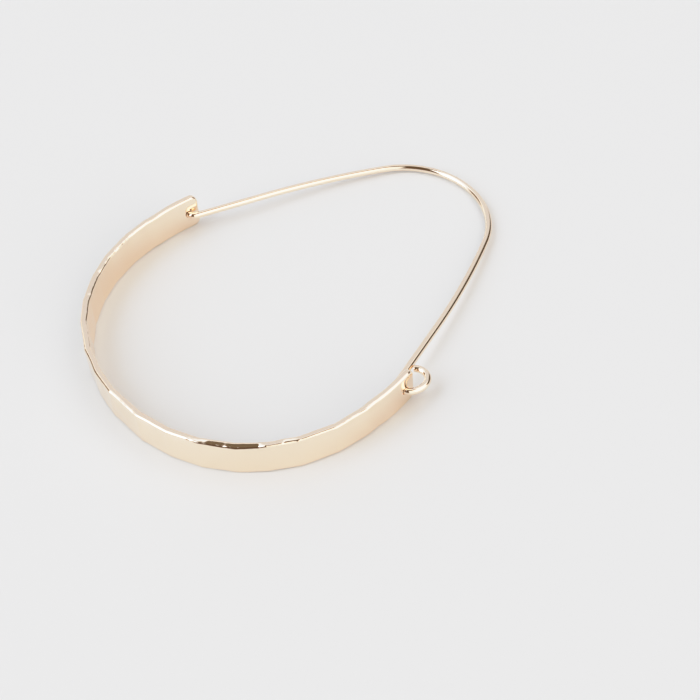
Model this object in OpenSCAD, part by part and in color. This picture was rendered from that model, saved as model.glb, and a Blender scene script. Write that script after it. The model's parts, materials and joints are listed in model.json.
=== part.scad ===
// Hoop earring: a flat hammered band, open at the top, hung on a sprung ear wire.
// It lies on its side. The band stands on its long edge, and the bend of the ear wire
// touches the surface. X runs from hole to hole, Y from the band to the wire's bend,
// and Z is up. The origin is the middle of the hoop's footprint.

/* [Band] */
// Width of the flat band, which is its height as it lies
band_w = 4.5; // [4:0.1:5]
// Thickness of the band
band_t = 0.8; // [0.7:0.05:0.9]
// Radius of the band's middle line along the bottom of the hoop
bottom_r = 21.2; // [20:0.1:23]
// Half the angle of the bottom bend
bottom_angle = 21; // [18:0.5:24]
// Radius of the tighter bends at the two shoulders
shoulder_r = 17.9; // [16.5:0.1:19]
// Angle of each shoulder bend
shoulder_angle = 65.5; // [62:0.5:68]
// Radius of the nearly straight ends
leg_r = 28.8; // [25:0.1:40]
// Length of each end along the middle line, from the shoulder to the hole
leg_len = 6.4; // [5:0.1:7]
// Height of the band's ends above the centres of the holes
end_past = 1.4; // [1.3:0.05:1.6]
// Radius of the rounded corners at the two ends
corner_r = 0.9; // [0.7:0.1:1.2]

/* [Ear wire] */
// Diameter of the ear wire
wire_d = 0.8; // [0.7:0.05:0.8]
// Lean of each leg of the wire towards the middle, where it leaves the hole
leg_lean = 19; // [17:0.5:21]
// Length of the straight stretch of each leg
straight_len = 8.8; // [7:0.1:10]
// Radius of the gentle sweep above it
sweep_r = 96; // [80:1:120]
// Angle of the gentle sweep
sweep_angle = 9; // [7:0.5:11]
// Radius of the small bend from each leg into its hole
turn_r = 0.6; // [0.55:0.05:0.8]

/* [Hinge eye and catch] */
// Diameter of the two holes drilled through the band
hole_d = 0.96; // [0.9:0.01:1]
// Straight stretch of wire on the inner side of each hole's centre
pin_in = 0.55; // [0.55:0.01:0.65]
// Straight stretch of wire on the outer side of the hinge hole's centre
pin_out = 0.38; // [0.36:0.01:0.42]
// How far the catch's tip reaches out from the centre of its hole
tip_reach = 1.6; // [1.4:0.05:1.8]
// Radius of the eye's small bend out of the hinge hole
eye_turn_r = 0.45; // [0.45:0.01:0.5]
// Angle of that bend
eye_turn = 50; // [48:1:52]
// Radius of the eye's round side
eye_side_r = 2.2; // [2.15:0.05:2.4]
// Angle of that side
eye_side_angle = 65; // [63:1:68]
// Radius of the eye's top
eye_r = 1.4; // [1.3:0.05:1.5]
// Angle from the highest point of the eye to its end, which closes against the leg
eye_close = 58; // [55:1:62]

/* [Hidden] */
$fn = 96;
gold = [0.93, 0.82, 0.66];
wire_r = wire_d / 2;
far = 60; // longer than any stretch that a cutter crosses
spare = 1; // what a cutter takes beyond the face that it leaves
lap = 0.02; // how far an inlaid bend runs into the stretches beside it
thin = 0.004; // how much thinner it is than they are, so that its ends lie inside them

// The angle that the lap takes up on a bend
function lap_angle(r) = lap / r * 180 / PI;

// Headings of the band's middle line at the end of each bend, from the X axis
shoulder_start = bottom_angle;
shoulder_end = shoulder_start + shoulder_angle;
hole_turn = leg_len / leg_r * 180 / PI;
hole_heading = shoulder_end + hole_turn;
end_heading = hole_heading + (end_past + spare) / leg_r * 180 / PI;

// Bend centres and the hole's centre, from the middle of the band's bottom
function ahead(heading) = [sin(heading), -cos(heading)];
bottom_c = [0, bottom_r];
shoulder_c = bottom_c + (bottom_r - shoulder_r) * ahead(shoulder_start);
leg_c = shoulder_c + (shoulder_r - leg_r) * ahead(shoulder_end);
hole_at = leg_c + leg_r * ahead(hole_heading);
hole_x = hole_at[0];
end_y = hole_at[1] + end_past;

// Points of the ear wire's right half, with the hole's centre at y = 0
lean_dir = [-sin(leg_lean), cos(leg_lean)];
turn_c = [hole_x - pin_in, turn_r];
leg_foot = turn_c - turn_r * [cos(leg_lean), sin(leg_lean)];
leg_top = leg_foot + straight_len * lean_dir;
sweep_c = leg_top - sweep_r * [cos(leg_lean), sin(leg_lean)];
bend_start = leg_lean + sweep_angle;
sweep_top = sweep_c + sweep_r * [cos(bend_start), sin(bend_start)];
bend_r = sweep_top[0] / cos(bend_start);
bend_c = [0, sweep_top[1] - bend_r * sin(bend_start)];
bend_top = bend_c[1] + bend_r;

// Bend centres of the eye, which closes against the leg
eye_turn_c = [hole_x + pin_out, eye_turn_r];
eye_side_c = eye_turn_c + (eye_turn_r - eye_side_r) * ahead(eye_turn);
eye_side_end = eye_turn + eye_side_angle;
eye_c = eye_side_c + (eye_side_r - eye_r) * ahead(eye_side_end);

// The ear wire swings down about the holes until its bend meets the surface
wire_z = band_w / 2;
droop = asin((wire_z - wire_r) / bend_top);

// Middle of the footprint, measured from the middle of the band's bottom
low_y = -band_t / 2;
high_y = hole_at[1] + bend_top * cos(droop) + wire_r;
middle_y = (low_y + high_y) / 2;
hole_y = hole_at[1] - middle_y;

// A stretch of the flat band bent about a centre, between two headings
module band_bend(centre, r, from, to, less = 0) {
    translate([centre[0], centre[1], band_w / 2])
        rotate([0, 0, from - 90])
            rotate_extrude(angle = to - from)
                translate([r, 0])
                    square([band_t - less, band_w - less], center = true);
}

// One side of the band, from the bottom bend to past its end, with the shoulder inlaid
module band_side() {
    shoulder_lap = lap_angle(shoulder_r);
    band_bend(shoulder_c, shoulder_r, shoulder_start - shoulder_lap, shoulder_end + shoulder_lap, thin);
    band_bend(leg_c, leg_r, shoulder_end, end_heading);
}

// Everything outside the rounded end of the band, as a prism along X
module end_cutter() {
    rotate([90, 0, 90])
        linear_extrude(far)
            difference() {
                translate([end_y - corner_r, -spare])
                    square([corner_r + 2 * spare, band_w + 2 * spare]);
                translate([end_y - 2 * corner_r, corner_r])
                    square([2 * corner_r, band_w - 2 * corner_r]);
                for (z = [corner_r, band_w - corner_r])
                    translate([end_y - corner_r, z])
                        circle(corner_r);
            }
}

// The hole drilled along the line through both ends
module hole() {
    translate([hole_x - band_w / 2, hole_at[1], wire_z])
        rotate([0, 90, 0])
            cylinder(d = hole_d, h = band_w);
}

module hoop_band() {
    color(gold)
        translate([0, -middle_y, 0])
            difference() {
                union() {
                    band_bend(bottom_c, bottom_r, -bottom_angle, bottom_angle);
                    band_side();
                    mirror([1, 0, 0]) band_side();
                }
                for (side = [0, 1])
                    mirror([side, 0, 0]) {
                        end_cutter();
                        hole();
                    }
            }
}

// A stretch of round wire bent about a centre, between two polar angles
module wire_bend(centre, r, from, to, d = wire_d) {
    translate([centre[0], centre[1], 0])
        rotate([0, 0, from])
            rotate_extrude(angle = to - from)
                translate([r, 0])
                    circle(d = d);
}

// A bend that is inlaid between the stretches at both its ends
module inlaid_bend(centre, r, from, to) {
    wire_bend(centre, r, from - lap_angle(r), to + lap_angle(r), wire_d - thin);
}

// A straight stretch of round wire from a point, along a polar angle
module wire_rod(start, angle, length) {
    translate([start[0], start[1], 0])
        rotate([0, 0, angle])
            rotate([0, 90, 0])
                cylinder(r = wire_r, h = length);
}

// Half of the ear wire, from its stretch in the hole up to the start of the top bend
module wire_side() {
    inlaid_bend(turn_c, turn_r, 180 + leg_lean, 270);
    wire_rod(leg_foot, 90 + leg_lean, straight_len);
    inlaid_bend(sweep_c, sweep_r, leg_lean, bend_start);
}

// The closed eye that passes out through the hinge hole and round the band's end
module eye() {
    wire_rod([turn_c[0], 0], 0, pin_in + pin_out);
    inlaid_bend(eye_turn_c, eye_turn_r, -90, eye_turn - 90);
    wire_bend(eye_side_c, eye_side_r, eye_turn - 90, eye_side_end - 90);
    inlaid_bend(eye_c, eye_r, eye_side_end - 90, 90 + eye_close);
}

// The rounded tip that hooks out through the other hole
module catch_tip() {
    wire_rod([turn_c[0], 0], 0, pin_in + tip_reach - wire_r);
    translate([hole_x + tip_reach - wire_r - lap, 0, 0]) sphere(d = wire_d - thin);
}

module ear_wire() {
    color(gold)
        translate([0, hole_y, wire_z])
            rotate([-droop, 0, 0])
                union() {
                    wire_bend(bend_c, bend_r, bend_start, 180 - bend_start);
                    wire_side();
                    mirror([1, 0, 0]) wire_side();
                    eye();
                    mirror([1, 0, 0]) catch_tip();
                }
}

hoop_band();
ear_wire();
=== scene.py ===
import json
import math

import bpy
import numpy as np
from mathutils import Matrix, Vector


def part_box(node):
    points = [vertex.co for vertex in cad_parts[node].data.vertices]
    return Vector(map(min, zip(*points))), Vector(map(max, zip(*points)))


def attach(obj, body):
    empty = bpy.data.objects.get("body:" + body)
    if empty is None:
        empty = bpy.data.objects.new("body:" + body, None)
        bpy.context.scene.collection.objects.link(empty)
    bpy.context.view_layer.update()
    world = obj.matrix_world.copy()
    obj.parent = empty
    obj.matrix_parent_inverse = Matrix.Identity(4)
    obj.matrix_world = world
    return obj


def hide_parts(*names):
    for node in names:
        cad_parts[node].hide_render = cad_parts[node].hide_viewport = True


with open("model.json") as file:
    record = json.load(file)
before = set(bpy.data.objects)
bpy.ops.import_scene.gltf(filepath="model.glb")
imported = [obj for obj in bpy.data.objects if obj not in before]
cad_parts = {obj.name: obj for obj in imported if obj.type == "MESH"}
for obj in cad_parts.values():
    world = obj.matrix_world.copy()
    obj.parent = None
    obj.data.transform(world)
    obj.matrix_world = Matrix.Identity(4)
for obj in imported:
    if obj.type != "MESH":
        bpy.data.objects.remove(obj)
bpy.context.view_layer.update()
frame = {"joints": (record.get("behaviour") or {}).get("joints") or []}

# A hinged hoop earring of gold-filled metal: a flat hammered band and a sprung ear wire.
# Sizes are in millimetres and angles in degrees, and MM turns a size to metres.
MM = 0.001

# The band's middle line, from the bottom of the hoop to one end: radius and length of each bend
BAND_BENDS = ((21.2, 21.2 * math.radians(21)), (17.9, 17.9 * math.radians(65.5)), (28.8, 12.0))
BAND_THICK = 0.8
BAND_LOW, BAND_HIGH = (corner.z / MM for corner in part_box("hoop_band"))
BAND_WIDE = BAND_HIGH - BAND_LOW
BAND_BOTTOM_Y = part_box("hoop_band")[0].y / MM + BAND_THICK / 2
SHOULDER_TO_HOLE = 6.4
HOLE_ALONG = BAND_BENDS[0][1] + BAND_BENDS[1][1] + SHOULDER_TO_HOLE
HOLE_RADIUS = 0.48
END_PAST_HOLE = 1.4
CORNER_RADIUS = 0.9

# The ear wire in its own plane, with the line through both holes at y = 0
WIRE_RADIUS = 0.4
LEG_LEAN = 19
LEG_STRAIGHT = 8.8
SWEEP_RADIUS, SWEEP_TURN = 96, 9   # the gentle bend above each leg's straight stretch
TURN_RADIUS = 0.6                  # the small bend from each leg into its hole
PIN_INNER, PIN_OUTER = 0.55, 0.38  # straight wire on each side of the hinge hole's centre
TIP_REACH = 1.6                    # how far the catch's tip reaches out from its hole's centre
# Radius and angle of the eye's bends, from its highest point round to the hinge hole
EYE_BENDS = ((1.4, 65), (2.2, 65), (0.45, 50))
# Angle from that point the other way to the wire's cut end, which just touches the leg
EYE_CLOSE = 47.5

HINGE = Vector(frame["joints"][0]["pos_m"]) / MM


# Mesh building

def middle_line(along):
    """Place and heading of the band's middle line at distances along it from the bottom."""
    run, side = np.abs(along), np.sign(along)
    x, y, heading = np.zeros_like(run), np.zeros_like(run), np.zeros_like(run)
    passed = turned = 0.0
    for radius, length in BAND_BENDS:
        turn = np.clip(run - passed, 0, length) / radius
        x += radius * (np.sin(turned + turn) - math.sin(turned))
        y += radius * (math.cos(turned) - np.cos(turned + turn))
        heading += turn
        turned += length / radius
        passed += length
    return side * x, y + BAND_BOTTOM_Y, side * heading


def new_mesh(name, points, faces, smooth=True):
    """A mesh object from points in millimetres."""
    mesh = bpy.data.meshes.new(name)
    mesh.from_pydata((np.asarray(points) * MM).tolist(), [], [list(map(int, f)) for f in faces])
    mesh.validate()
    mesh.update()
    mesh.polygons.foreach_set("use_smooth", [smooth] * len(mesh.polygons))
    piece = bpy.data.objects.new(name, mesh)
    bpy.context.scene.collection.objects.link(piece)
    return piece


def soft_lowest(heights, blend):
    """Lowest of several surfaces, with the ridges between them rounded over a height of blend."""
    lowest = heights.min(axis=0)
    return lowest - blend * np.log(np.exp((lowest - heights) / blend).sum(axis=0))


WAVES = 5
WAVE_SPREAD = (0.6, 1.8)   # shortest and longest wave, as shares of the usual length


def wander(rng, along, wavelength):
    """A smooth random curve between about -1 and 1, from waves near one wavelength."""
    total = np.zeros_like(along)
    for _ in range(WAVES):
        length = wavelength * rng.uniform(*WAVE_SPREAD)
        total += np.sin(2 * math.pi * (along / length + rng.uniform()))
    return total / math.sqrt(WAVES)


# The hammered band

STATION = 0.12       # distance between cross-sections along the band
ACROSS_STEPS = 30
CORNER_STEPS = 14
ROUND_STEPS = 8
# Radius of the outer face's edges, rounded by hammering and polishing, at distances along the band
OUTER_ROUNDS = ((-12, 0.24), (-9, 0.34), (-1, 0.34), (3, 0.24), (14, 0.24), (21, 0.28))
OUTER_ROUND = max(radius for _, radius in OUTER_ROUNDS)
INNER_ROUND = 0.28   # radius of the inner face's edges
HOLE_ROUND = 0.05    # radius of the holes' rims
HOLE_CELLS = 12      # grid cells on each side of the square that holds a hole's rings
HOLE_RINGS = 5
RING_CROWDING = 0.8  # below 1, those rings lie closer together towards the rim
FAR_INSIDE = 9.0     # stands for a point that no edge's rounding reaches
END_SEARCH = 5       # distance to each side of a hole in which the band's end is looked for
END_SEARCH_STEPS = 400


def end_distance(level):
    """Distance along the middle line at which it reaches a height above the hoop's bottom."""
    reach = np.linspace(HOLE_ALONG - END_SEARCH, HOLE_ALONG + END_SEARCH, END_SEARCH_STEPS)
    return np.interp(level, middle_line(reach)[1], reach)


def side_stations(inset):
    """Stations along one edge of the unrolled band, offset inwards, and how far in they lie."""
    end_level = float(middle_line(np.array([HOLE_ALONG]))[1][0]) + END_PAST_HOLE
    straight_end = float(end_distance(end_level - CORNER_RADIUS))
    straight = np.linspace(0, straight_end, round(straight_end / STATION) + 1)
    angle = np.radians(np.linspace(0, 90, CORNER_STEPS + 1))[1:]
    radius = CORNER_RADIUS - inset
    corner = end_distance(end_level - CORNER_RADIUS + radius * np.sin(angle))
    along = np.concatenate([straight, corner])
    off = np.concatenate([np.full(len(straight), inset), CORNER_RADIUS - radius * np.cos(angle)])
    return np.concatenate([-along[:0:-1], along]), np.concatenate([off[:0:-1], off])


def places_across(off):
    """Places across the band at each station, evenly spread between its two offset edges."""
    return off[:, None] + np.outer(BAND_WIDE - 2 * off, np.linspace(0, 1, ACROSS_STEPS + 1))


def round_insets(radius):
    """Distances in from an edge at the steps of its rounding, from 0 to its radius."""
    steps = np.radians(np.linspace(0, 90, ROUND_STEPS + 1))
    return [radius * (1 - math.cos(step)) for step in steps]


def round_drop(radius, inset):
    """How far an edge's rounding lies below the face at a distance in from the edge."""
    return radius - np.sqrt(radius ** 2 - np.clip(radius - inset, 0, None) ** 2)


def grid_outline(columns, rows):
    """Cells round the outside of a grid, in order."""
    loop = [(i, 0) for i in range(columns)] + [(columns - 1, j) for j in range(1, rows)]
    loop += [(i, rows - 1) for i in range(columns - 2, -1, -1)]
    return loop + [(0, j) for j in range(rows - 2, 0, -1)]


def band_plan():
    """The band unrolled flat: its points and quads, its outline, and a loop round each hole.

    A point is its place along and across, its distances in from the outline and from a hole's
    rim, and how much it follows the slant of a hole.
    """
    points, quads = [], []

    def place(along, across, inset=FAR_INSIDE, rim_inset=FAR_INSIDE, slant=0.0):
        points.append((along, across, inset, rim_inset, slant))
        return len(points) - 1

    def join(loop_a, loop_b):
        for k in range(len(loop_a)):
            after = (k + 1) % len(loop_a)
            quads.append((loop_a[k], loop_a[after], loop_b[after], loop_b[k]))

    # Rings of the rounded edge, from the outline inwards, and the face inside them
    stations = len(side_stations(0)[0])
    loop_cells = grid_outline(stations, ACROSS_STEPS + 1)
    rings = []
    for inset in round_insets(OUTER_ROUND)[:-1]:
        along, off = side_stations(inset)
        across = places_across(off)
        rings.append([place(along[i], across[i, j], inset) for i, j in loop_cells])
    along, off = side_stations(OUTER_ROUND)
    across = places_across(off)
    grid = np.array([[place(along[i], z) for z in across[i]] for i in range(stations)])
    rings.append([int(grid[i, j]) for i, j in loop_cells])
    for outer, inner in zip(rings, rings[1:]):
        join(outer, inner)

    # The two holes, each in a square of the grid
    hole_loops, taken = [], np.zeros((stations - 1, ACROSS_STEPS), bool)
    for side in (-1, 1):
        centre = np.array([side * HOLE_ALONG, BAND_WIDE / 2])
        i0 = int(np.argmin(np.abs(along - centre[0]))) - HOLE_CELLS // 2
        j0 = (ACROSS_STEPS - HOLE_CELLS) // 2
        taken[i0:i0 + HOLE_CELLS, j0:j0 + HOLE_CELLS] = True
        loop = [int(grid[i0 + i, j0 + j]) for i, j in grid_outline(HOLE_CELLS + 1, HOLE_CELLS + 1)]
        corners = np.array([points[p][:2] for p in loop])
        spokes = (corners - centre) / np.linalg.norm(corners - centre, axis=1, keepdims=True)
        rim = centre + spokes * (HOLE_RADIUS + HOLE_ROUND)
        for ring in range(1, HOLE_RINGS + 1):
            share = (ring / HOLE_RINGS) ** RING_CROWDING
            inner = [place(*spot, slant=share) for spot in corners + (rim - corners) * share]
            join(loop, inner)
            loop = inner
        for inset in round_insets(HOLE_ROUND)[-2::-1]:
            spots = centre + spokes * (HOLE_RADIUS + inset)
            inner = [place(*spot, rim_inset=inset, slant=1.0) for spot in spots]
            join(loop, inner)
            loop = inner
        hole_loops.append(loop)

    for i in range(stations - 1):
        for j in range(ACROSS_STEPS):
            if not taken[i, j]:
                quads.append((grid[i, j], grid[i + 1, j], grid[i + 1, j + 1], grid[i, j + 1]))
    return np.array(points), quads, rings[0], hole_loops


HAMMER_SEED = 11
PLAIN_END = 1.5      # length beside each hole, on the hoop's side, that wasn't hammered
HAMMER_FADE = 3.0    # length over which the hammering grows from there to its full depth
KINK_BLEND = 0.006   # height over which the corner between two flats of the bend is rounded
KINK_RADIUS = 19.0   # mean radius of the bend that the flats replace
FLAT_REACH = 1.3     # a flat counts this far past its middle, as a share of its half length
NEVER_LOWEST = 1.0   # height that stands for a flat that doesn't count

# The hammer's blows, in two rows across the band
BLOW_ROWS = (0.27, 0.75)
BLOW_SPACING = 3.4   # usual distance between them along the band
BLOW_SPACING_SPREAD = (0.75, 1.2)
BLOW_STRAY_ALONG = 1.2
BLOW_STRAY_ACROSS = 0.16   # as a share of the band's width
BLOW_SLOPE_ALONG, BLOW_SLOPE_ACROSS = 0.02, 0.025
BLOW_SHALLOWEST = 0.4      # as a share of the full depth
BLOW_BLEND = 0.003         # height over which the ridges between them are rounded
BLOW_RADIUS_ALONG = 22
OUTER_BLOW_DEPTH, OUTER_BLOW_RADIUS = 0.05, 30
INNER_BLOW_DEPTH, INNER_BLOW_RADIUS = 0.025, 60

# Corners that hammering has left in the bend, as distances along the band from its bottom
KINKS = (-36, -32.6, -29.0, -26.2, -22.4, -19.3, -15.6, -12.4, -8.4, -4.9, -1.6, 3.0, 6.9,
         10.5, 14.4, 17.6, 21.0, 25.1, 28.9, 32.4, 36)

# How far the top and bottom edges lean outwards, in degrees, at distances along the band
TOP_LEAN = ((-34, 0), (-28, 3), (-22, -3), (-19, -7), (-12, -5), (-9, 2), (-3, -2), (0, 2), (5, -1),
            (9.4, 0), (11.1, 8), (12.3, 16), (14.2, 15), (14.6, 18), (16.9, 15), (17.8, -4), (19.2, -3),
            (19.5, 7), (20.9, 5), (21.3, -6), (24.8, -3), (25.2, -8), (28.8, -4), (29.2, 1), (34, 0))
LOW_LEAN = ((-34, 0), (-30, -6), (-24, 5), (-17, -3), (-11, 8), (-6, -4), (0, 6), (4, -6), (9, 3),
            (13, -5), (18, 8), (22, -3), (27, 6), (34, 0))
LEAN_REACH = 0.9     # distance from an edge over which its lean fades out
LEAN_WANDER, LEAN_WAVE = 0.9, 1.2     # degrees by which it wavers, and over what length
EDGE_UNEVEN, EDGE_WAVE = 0.01, 4      # how unevenly high the edges are, and over what length


def hammered(along):
    """1 over the hammered length, falling to 0 towards the two drilled ends, which were hit less."""
    return np.clip((HOLE_ALONG - PLAIN_END - np.abs(along)) / HAMMER_FADE, 0, 1)


def bend_flats(along):
    """How far each flat of the bend lies inside the smooth curve. Both faces follow it."""
    corners = np.array(KINKS)
    middles, halves = (corners[1:] + corners[:-1]) / 2, np.diff(corners) / 2
    flats = ((along - middles[:, None]) ** 2 - halves[:, None] ** 2) / (2 * KINK_RADIUS)
    near = np.abs(along - middles[:, None]) <= halves[:, None] * FLAT_REACH
    return np.minimum(soft_lowest(np.where(near, flats, NEVER_LOWEST), KINK_BLEND), 0)


def blow_marks(rng, along, across, depth, radius_across):
    """Shallow dishes left by the hammer on one face, as heights below it."""
    heights = [np.zeros_like(along)]
    spot = -HOLE_ALONG
    while spot < HOLE_ALONG:
        for row in BLOW_ROWS:
            s = spot + rng.uniform(-BLOW_STRAY_ALONG, BLOW_STRAY_ALONG)
            z = BAND_WIDE * (row + rng.uniform(-BLOW_STRAY_ACROSS, BLOW_STRAY_ACROSS))
            slope_s = rng.uniform(-BLOW_SLOPE_ALONG, BLOW_SLOPE_ALONG)
            slope_z = rng.uniform(-BLOW_SLOPE_ACROSS, BLOW_SLOPE_ACROSS)
            ds, dz = along - s, across - z
            dish = ds ** 2 / (2 * BLOW_RADIUS_ALONG) + dz ** 2 / (2 * radius_across)
            deepest = depth * rng.uniform(BLOW_SHALLOWEST, 1.0)
            heights.append(dish + slope_s * ds + slope_z * dz - deepest)
        spot += BLOW_SPACING * rng.uniform(*BLOW_SPACING_SPREAD)
    return soft_lowest(np.array(heights), BLOW_BLEND)


def edge_shift(rng, along, across, off):
    """How far the hammered long edges are lowered, and leant out or in, as a change in height."""
    shift = np.zeros_like(along)
    for way, level, leans in ((-1, BAND_WIDE, TOP_LEAN), (1, 0, LOW_LEAN)):
        places, degrees = zip(*leans)
        angle = np.interp(along, places, degrees) + LEAN_WANDER * wander(rng, along, LEAN_WAVE)
        lean = np.tan(np.radians(angle))
        fade = np.clip(1 - np.abs(across - level) / LEAN_REACH, 0, 1) ** 2 * hammered(along)
        uneven = EDGE_UNEVEN * (1 + wander(rng, along, EDGE_WAVE))
        lower = off * lean + BAND_THICK / 2 * np.abs(lean) + uneven
        shift += way * fade * np.clip(lower, 0, None)
    return shift


def build_band():
    """The hammered band, with rounded edges, rounded ends and its two drilled holes."""
    rng = np.random.default_rng(HAMMER_SEED)
    plan, plan_quads, outline, holes = band_plan()
    along, across, inset, rim_inset, slant = plan.T
    bend = bend_flats(along) * hammered(along)
    outer_marks = blow_marks(rng, along, across, OUTER_BLOW_DEPTH, OUTER_BLOW_RADIUS)
    inner_marks = blow_marks(rng, along, across, INNER_BLOW_DEPTH, INNER_BLOW_RADIUS)
    rng_state = rng.bit_generator.state
    hole_slant = math.tan(middle_line(np.array([HOLE_ALONG]))[2][0] - math.pi / 2)
    points = []
    outer_round = np.interp(along, *zip(*OUTER_ROUNDS))
    for face, radius, marks in ((1, outer_round, outer_marks), (-1, INNER_ROUND, inner_marks)):
        half = BAND_THICK / 2 - round_drop(radius, inset) - round_drop(HOLE_ROUND, rim_inset)
        off = face * (half + marks * hammered(along)) + bend
        rng.bit_generator.state = rng_state   # both faces share the edges' wavering
        height = across + edge_shift(rng, along, across, off)
        x, y, heading = middle_line(along - np.sign(along) * slant * off * hole_slant)
        points.append(np.column_stack([
            x + off * np.sin(heading), y - off * np.cos(heading), height + BAND_LOW]))
    count = len(plan)
    faces = [q[::-1] for q in plan_quads] + [[p + count for p in q] for q in plan_quads]
    for loop in [outline, *(h[::-1] for h in holes)]:
        for k, here in enumerate(loop):
            after = loop[(k + 1) % len(loop)]
            faces.append((here, after, after + count, here + count))
    return new_mesh("hammered_band", np.vstack(points), faces)


# The ear wire

WIRE_STEP = 0.1      # usual distance between its rings
WIRE_TURN_STEP = 6   # most degrees that it turns between two rings
WIRE_SIDES = 40
CUT_ROUND = 0.12     # rounding of the wire's cut end, at the eye
CAP_STEPS = 8


def follow(start, route, heading=0.0):
    """Places and headings of the wire along a route of (length, turn) stretches."""
    x, y = start
    places, headings = [(x, y)], [heading]
    for length, turn in route:
        steps = max(2, round(length / WIRE_STEP), round(abs(turn) / math.radians(WIRE_TURN_STEP)))
        for k in range(1, steps + 1):
            angle = turn * k / steps
            if turn:
                radius = length / turn
                ahead = radius * (math.sin(heading + angle) - math.sin(heading))
                aside = radius * (math.cos(heading) - math.cos(heading + angle))
            else:
                ahead = length * k / steps * math.cos(heading)
                aside = length * k / steps * math.sin(heading)
            places.append((x + ahead, y + aside))
            headings.append(heading + angle)
        x, y = places[-1]
        heading += turn
    return np.array(places), np.array(headings)


def wire_route():
    """Where the wire starts at the eye, its stretches to the catch, and its first heading."""
    hole_x = float(middle_line(np.array([HOLE_ALONG]))[0][0])
    lean, sweep = math.radians(LEG_LEAN), math.radians(SWEEP_TURN)
    foot_x = hole_x - PIN_INNER - TURN_RADIUS * math.cos(lean)
    top_x = foot_x - LEG_STRAIGHT * math.sin(lean)
    top_x -= SWEEP_RADIUS * (math.cos(lean) - math.cos(lean + sweep))
    half_turn = math.pi - 2 * (lean + sweep)
    top_bend = (top_x / math.cos(lean + sweep) * half_turn, half_turn)
    leg = [(LEG_STRAIGHT, 0), (SWEEP_RADIUS * sweep, sweep)]
    foot = (TURN_RADIUS * (math.pi / 2 - lean), lean - math.pi / 2)
    eye = [(radius * math.radians(angle), -math.radians(angle)) for radius, angle in EYE_BENDS]
    eye_reach_x, eye_reach_y = follow((0, 0), eye)[0][-1]
    eye_radius, close = EYE_BENDS[0][0], math.radians(EYE_CLOSE)
    start_x = hole_x + PIN_OUTER - eye_reach_x - eye_radius * math.sin(close)
    start_y = -eye_reach_y - eye_radius * (1 - math.cos(close))
    route = [(eye_radius * close, -close), *eye, (PIN_OUTER + PIN_INNER, 0), foot, *leg, top_bend,
             *leg[::-1], foot, (PIN_INNER + TIP_REACH - WIRE_RADIUS, 0)]
    return (start_x, start_y), route, close


def build_wire():
    """The round ear wire: the eye, both legs with the bend between them, and the catch's rounded tip."""
    places, headings = follow(*wire_route())
    ahead = np.column_stack([np.cos(headings), np.sin(headings)])
    aside = np.column_stack([np.sin(headings), -np.cos(headings)])
    around = np.linspace(0, 2 * math.pi, WIRE_SIDES, endpoint=False)

    def ring(k, radius, forward):
        flat = places[k] + ahead[k] * forward + np.outer(np.cos(around) * radius, aside[k])
        return np.column_stack([flat, np.sin(around) * radius])

    caps = np.radians(90 * np.arange(CAP_STEPS) / CAP_STEPS)
    cut_end = [
        ring(0, WIRE_RADIUS - CUT_ROUND * (1 - math.sin(a)), -CUT_ROUND * math.cos(a)) for a in caps]
    body = [ring(k, WIRE_RADIUS, 0) for k in range(len(places))]
    tip = [ring(-1, WIRE_RADIUS * math.cos(a), WIRE_RADIUS * math.sin(a)) for a in caps[1:]]
    rings = cut_end + body + tip
    ends = [cut_end[0].mean(axis=0), ring(-1, 0, WIRE_RADIUS)[0]]
    points = np.vstack([*rings, ends])

    faces = []
    last_ring, first_end, last_end = (len(rings) - 1) * WIRE_SIDES, len(points) - 2, len(points) - 1
    for side in range(WIRE_SIDES):
        after = (side + 1) % WIRE_SIDES
        faces.append((first_end, after, side))
        faces.append((last_end, last_ring + side, last_ring + after))
        for low in range(0, last_ring, WIRE_SIDES):
            high = low + WIRE_SIDES
            faces.append((low + side, low + after, high + after, high + side))

    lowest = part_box("ear_wire")[0].z / MM + WIRE_RADIUS
    droop = math.asin((HINGE.z - lowest) / float(places[:, 1].max()))
    swing = np.array(Matrix.Rotation(-droop, 3, "X"))
    return new_mesh("round_wire", points @ swing.T + np.array([0, HINGE.y, HINGE.z]), faces)


# Materials

def linear(hex_colour):
    """An sRGB hex colour as linear RGBA."""
    parts = [int(hex_colour[k:k + 2], 16) / 255 for k in (1, 3, 5)]
    return [p / 12.92 if p <= 0.04045 else ((p + 0.055) / 1.055) ** 2.4 for p in parts] + [1.0]


def add(tree, kind, inputs=None, **settings):
    """Add one node, with its settings and the values or links of its inputs."""
    node = tree.nodes.new(kind)
    for name, value in settings.items():
        setattr(node, name, value)
    for name, value in (inputs or {}).items():
        socket = node.inputs[name]
        if isinstance(value, bpy.types.NodeSocket):
            tree.links.new(value, socket)
        else:
            socket.default_value = value
    return node


def new_material(name):
    material = bpy.data.materials.new(name)
    material.use_nodes = True
    tree = material.node_tree
    shader = tree.nodes["Principled BSDF"]
    return material, tree, shader


# The bright gold layer that both the sheet and the wire are clad in
GOLD_HEX = "#ffebd5"
# Size of the rubbing marks that tumbling leaves, coarser than the real ones so that they show
RUBBING_SIZE = 0.17


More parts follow.
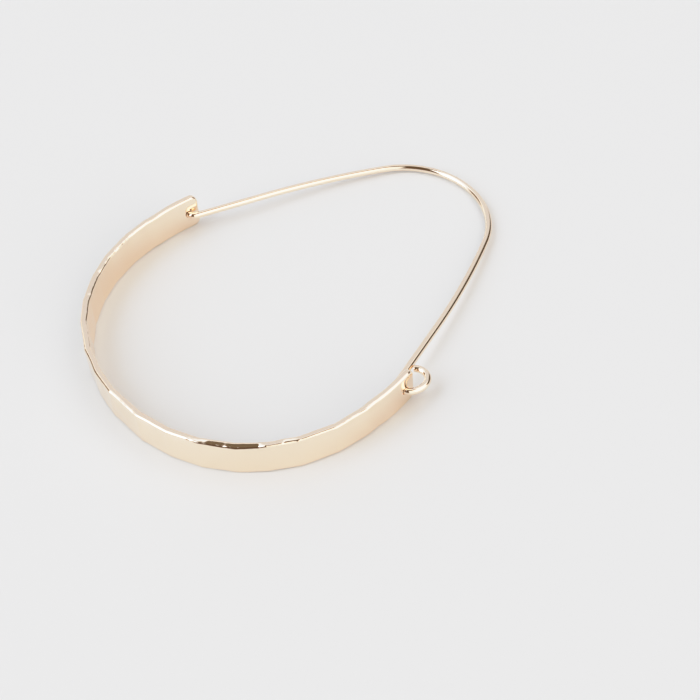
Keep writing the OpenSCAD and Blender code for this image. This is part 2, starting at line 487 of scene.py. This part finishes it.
def gold_filled(name, ripple_size, ripple_height, roughness):
    """A polished gold skin with slow ripples, and a sheen that varies with finer rubbing marks."""
    material, tree, shader = new_material(name)
    place = add(tree, "ShaderNodeTexCoord").outputs["Object"]
    ripples = add(tree, "ShaderNodeTexNoise", {
        "Vector": place, "Scale": 1 / (ripple_size * MM), "Detail": 2.0})
    rubbing = add(tree, "ShaderNodeTexNoise", {
        "Vector": place, "Scale": 1 / (RUBBING_SIZE * MM), "Detail": 3.0})
    sheen = add(tree, "ShaderNodeMapRange", {
        "Value": rubbing.outputs["Fac"], "To Min": roughness[0], "To Max": roughness[1]})
    tree.links.new(sheen.outputs["Result"], shader.inputs["Roughness"])
    bump = add(tree, "ShaderNodeBump", {
        "Height": ripples.outputs["Fac"], "Distance": ripple_height * MM, "Strength": 0.5})
    tree.links.new(bump.outputs["Normal"], shader.inputs["Normal"])
    shader.inputs["Base Color"].default_value = linear(GOLD_HEX)
    shader.inputs["Metallic"].default_value = 1.0
    return material


def hammered_gold_filled():
    """Gold-filled sheet, hammered and tumble-polished: a warm mirror that ripples break up."""
    return gold_filled(
        "hammered_gold_filled", ripple_size=1.1, ripple_height=0.02, roughness=(0.05, 0.11))


def drawn_gold_filled():
    """Gold-filled wire, drawn through a die and polished: an even shine with sharp reflections."""
    return gold_filled(
        "drawn_gold_filled", ripple_size=2.0, ripple_height=0.004, roughness=(0.05, 0.1))


def white_board():
    """Painted white board: flat and matt, with a faint gloss at low angles."""
    material, tree, shader = new_material("white_board")
    shader.inputs["Base Color"].default_value = linear("#e5e8ea")
    shader.inputs["Roughness"].default_value = 0.5
    return material


# Stage, light and camera

FLOOR_REACH = 3000   # half the floor's side, so that its border lies far out of sight


def build_floor():
    corners = [(x * FLOOR_REACH, y * FLOOR_REACH, 0) for x, y in ((-1, -1), (1, -1), (1, 1), (-1, 1))]
    floor = new_mesh("floor", corners, [(0, 1, 2, 3)], smooth=False)
    floor.data.materials.append(white_board())


def direction(azimuth, elevation):
    """A unit vector towards a compass angle from +X and a height, both in degrees."""
    a, e = math.radians(azimuth), math.radians(elevation)
    return Vector((math.cos(a) * math.cos(e), math.sin(a) * math.cos(e), math.sin(e)))


# Parts of the room around the earring, each drawn over the ones before it: what it is, its colour,
# how bright it is, and its middle azimuth, half width, middle elevation, half height and softness
ROOM_STRENGTH = 1.58
ROOM_WHITE = "#f6f9ff"
ROOM = (
    ("low walls", "#999188", 1.0, (0, 360, 0, 7, 6)),
    ("lamplit wall", "#fff3e7", 1.25, (26, 48, 40, 31, 8)),
    ("right wall", "#f0e8dc", 1.0, (338, 14, 38, 28, 5)),
    ("left wall", "#e6e2e0", 1.0, (203, 30, 22, 26, 6)),
    ("back wall", "#b4b4b7", 1.0, (134, 53, 30, 32, 7)),
    ("bookcase", "#54463a", 1.0, (212, 13, 20, 19, 6)),
    ("window", "#f0f7ff", 2.4, (250, 20, 42, 25, 4)),
    ("doorway", "#483d30", 1.0, (76, 27, 16, 22, 5)),
    ("ceiling", "#5d5142", 1.0, (0, 360, 90, 20, 4)),
    ("camera stand", "#4c3d2f", 1.0, (297, 27, 42, 32, 5)))


# The camera's film curve: brightness in the scene, and in the picture
FILM_CHANNEL = 3     # the curve for red, green and blue together
FILM_WHITE = 2.5
FILM_CURVE = ((0.2, 0.21), (0.5, 0.53), (0.8, 0.80), (1.0, 0.89), (1.4, 0.96), (2.5, 1.0))


def develop(view):
    """Plain colours with softly rolled-off highlights, as the camera gives them."""
    view.view_transform = "Standard"
    view.use_curve_mapping = True
    mapping = view.curve_mapping
    mapping.white_level = (FILM_WHITE,) * 3
    curve = mapping.curves[FILM_CHANNEL]
    curve.points[-1].location = (1.0, 1.0)
    for scene_value, picture_value in FILM_CURVE[:-1]:
        curve.points.new(scene_value / FILM_WHITE, picture_value)
    mapping.update()


# A Mix node's two colour inputs and its colour output
MIX_UNDER, MIX_OVER, MIX_RESULT = 6, 7, 2


def light_the_stage():
    """A soft white room with a window, a lamplit wall, and the dark camera stand in front."""
    world = bpy.data.worlds.new("studio")
    world.use_nodes = True
    tree = world.node_tree
    sky = add(tree, "ShaderNodeTexCoord").outputs["Generated"]
    ray = add(tree, "ShaderNodeSeparateXYZ", {0: sky})
    azimuth = add(tree, "ShaderNodeMath", {
        0: ray.outputs["Y"], 1: ray.outputs["X"]}, operation="ARCTAN2")
    elevation = add(tree, "ShaderNodeMath", {0: ray.outputs["Z"]}, operation="ARCSINE")

    def closeness(angle, middle, half, soft):
        """1 within half an angle of the middle, fading to 0 outside it."""
        turned = add(tree, "ShaderNodeMath", {
            0: angle.outputs[0], 1: math.radians(middle)}, operation="SUBTRACT")
        wrapped = add(tree, "ShaderNodeMath", {
            0: turned.outputs[0], 1: math.pi, 2: -math.pi}, operation="WRAP")
        away = add(tree, "ShaderNodeMath", {0: wrapped.outputs[0]}, operation="ABSOLUTE")
        return add(tree, "ShaderNodeMapRange", {
            "Value": away.outputs[0], "From Min": math.radians(half + soft),
            "From Max": math.radians(half - soft)}, interpolation_type="SMOOTHSTEP").outputs["Result"]

    shade = linear(ROOM_WHITE)
    for _, hex_colour, strength, (middle_az, half_az, middle_el, half_el, soft) in ROOM:
        mask = add(tree, "ShaderNodeMath", {
            0: closeness(azimuth, middle_az, half_az, soft),
            1: closeness(elevation, middle_el, half_el, soft)}, operation="MULTIPLY")
        colour = [strength * c for c in linear(hex_colour)[:3]] + [1.0]
        mix = add(tree, "ShaderNodeMix", {
            0: mask.outputs[0], MIX_UNDER: shade, MIX_OVER: colour}, data_type="RGBA")
        shade = mix.outputs[MIX_RESULT]
    background = tree.nodes["Background"]
    tree.links.new(shade, background.inputs["Color"])
    background.inputs["Strength"].default_value = ROOM_STRENGTH
    bpy.context.scene.world = world
    develop(bpy.context.scene.view_settings)


CAMERA_LOOK_AT = (10.75, -2.62, 2.25)
CAMERA_AZIMUTH, CAMERA_ELEVATION, CAMERA_ROLL = 141.75, 50.16, -4.95
CAMERA_DISTANCE = 165.5
CAMERA_FIELD = 26


def place_camera():
    """The photograph's view, from above the hinge."""
    lens = bpy.data.cameras.new("camera")
    lens.lens = lens.sensor_width / 2 / math.tan(math.radians(CAMERA_FIELD / 2))
    lens.clip_start, lens.clip_end = 0.005, 20
    camera = bpy.data.objects.new("camera", lens)
    ahead = direction(CAMERA_AZIMUTH, -CAMERA_ELEVATION)
    level = ahead.to_track_quat("-Z", "Y").to_matrix()
    rolled = level @ Matrix.Rotation(math.radians(CAMERA_ROLL), 3, "Z")
    camera.matrix_world = Matrix.Translation(
        (Vector(CAMERA_LOOK_AT) - ahead * CAMERA_DISTANCE) * MM) @ rolled.to_4x4()
    bpy.context.scene.collection.objects.link(camera)
    bpy.context.scene.camera = camera


place_camera()
build_floor()
light_the_stage()

band = build_band()
band.data.materials.append(hammered_gold_filled())
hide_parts("hoop_band")
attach(band, "hoop")

wire = build_wire()
wire.data.materials.append(drawn_gold_filled())
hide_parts("ear_wire")
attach(wire, "ear_wire")
